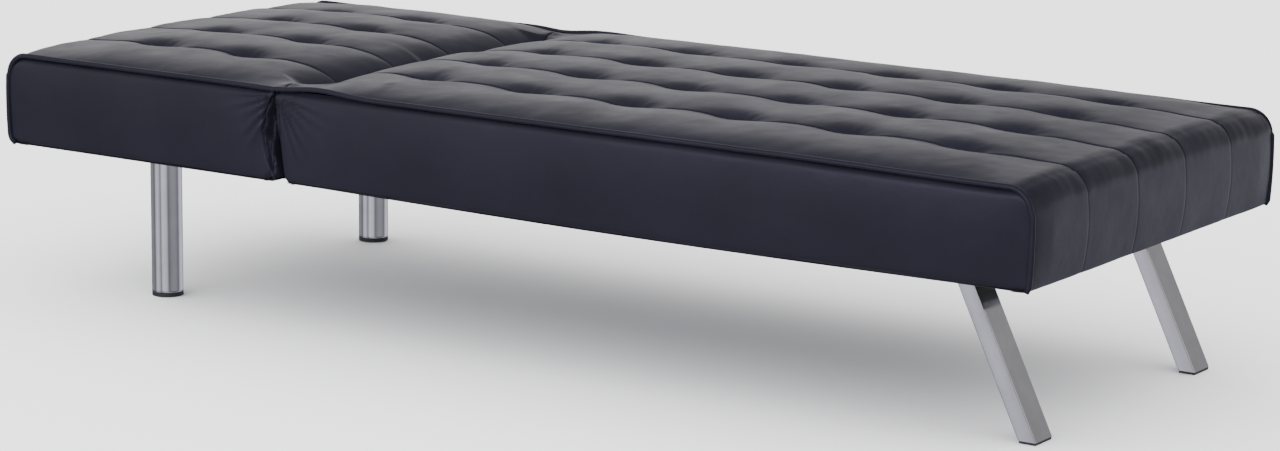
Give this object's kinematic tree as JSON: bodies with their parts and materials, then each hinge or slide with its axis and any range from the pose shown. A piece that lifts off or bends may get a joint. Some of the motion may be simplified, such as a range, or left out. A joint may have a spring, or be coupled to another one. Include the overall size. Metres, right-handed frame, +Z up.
{
  "type": "futon sofa bed",
  "caption": "Convertible chaise-style sofa bed lying flat: long tufted seat section and short reclining back section in navy leatherette, ratchet hinges, chromed steel legs",
  "frame": {"origin": "On the floor, at the middle of the bounding box's footprint", "axes": "+X along the length from the head end to the foot end, +Y to the left side, +Z up"},
  "size_m": [1.83, 0.76, 0.394],
  "materials": {
    "navy_leatherette": "satin",
    "cushion_foam": "matte",
    "black_underlining": "matte",
    "painted_frame": "satin",
    "spring_steel": "satin",
    "chrome": "polished",
    "black_plastic": "matte"
  },
  "bodies": {
    "base": {"foot_leg_bolt_left_inner": "spring_steel", "foot_leg_bolt_left_outer": "spring_steel", "foot_leg_bolt_right_inner": "spring_steel", "foot_leg_bolt_right_outer": "spring_steel", "foot_leg_glide_left": "black_plastic", "foot_leg_glide_right": "black_plastic", "foot_leg_left": "chrome", "foot_leg_plate_left": "painted_frame", "foot_leg_plate_right": "painted_frame", "foot_leg_right": "chrome", "hinge_gusset_left": "navy_leatherette", "hinge_gusset_right": "navy_leatherette", "hinge_pin_left": "chrome", "hinge_pin_right": "chrome", "pawl_pin_left": "spring_steel", "pawl_pin_right": "spring_steel", "rear_arm_bolt_left_front": "spring_steel", "rear_arm_bolt_left_rear": "spring_steel", "rear_arm_bolt_right_front": "spring_steel", "rear_arm_bolt_right_rear": "spring_steel", "rear_arm_left": "painted_frame", "rear_arm_right": "painted_frame", "rear_leg_glide_left": "black_plastic", "rear_leg_glide_right": "black_plastic", "rear_leg_left": "chrome", "rear_leg_right": "chrome", "seat_arm_rail": "painted_frame", "seat_cover": "navy_leatherette", "seat_dust_cover": "black_underlining", "seat_foam": "cushion_foam", "seat_foot_rail": "painted_frame", "seat_hinge_plate_left": "spring_steel", "seat_hinge_plate_right": "spring_steel", "seat_hinge_rail": "painted_frame", "seat_leg_rail": "painted_frame", "seat_middle_rail": "painted_frame", "seat_piping_left": "navy_leatherette", "seat_piping_right": "navy_leatherette", "seat_side_rail_left": "painted_frame", "seat_side_rail_right": "painted_frame", "seat_spring_1": "spring_steel", "seat_spring_2": "spring_steel", "seat_spring_3": "spring_steel", "seat_spring_4": "spring_steel", "seat_spring_5": "spring_steel"},
    "backrest": {"back_cover": "navy_leatherette", "back_dust_cover": "black_underlining", "back_foam": "cushion_foam", "back_head_rail": "painted_frame", "back_hinge_plate_left": "spring_steel", "back_hinge_plate_right": "spring_steel", "back_hinge_rail": "painted_frame", "back_piping_left": "navy_leatherette", "back_piping_right": "navy_leatherette", "back_side_rail_left": "painted_frame", "back_side_rail_right": "painted_frame", "back_spring_1": "spring_steel", "back_spring_2": "spring_steel"},
    "pawl_lever_left": {"pawl_left": "spring_steel"},
    "pawl_lever_right": {"pawl_right": "spring_steel"}
  },
  "joints": [
    {"name": "recline", "type": "hinge", "parent": "base", "child": "backrest", "pos_m": [-0.36396, 0, 0.368], "axis": [0, 1, 0], "range_deg": [0, 75]},
    {"name": "pawl_left_pivot", "type": "hinge", "parent": "base", "child": "pawl_lever_left", "pos_m": [-0.32647, 0.34006, 0.32962], "axis": [0, 1, 0], "range_deg": [0, 12], "stiffness_Nm_per_rad": 0.02, "springref_deg": -34.38},
    {"name": "pawl_right_pivot", "type": "hinge", "parent": "base", "child": "pawl_lever_right", "pos_m": [-0.32647, -0.34006, 0.32962], "axis": [0, 1, 0], "range_deg": [0, 12], "stiffness_Nm_per_rad": 0.02, "springref_deg": -34.38}
  ]
}
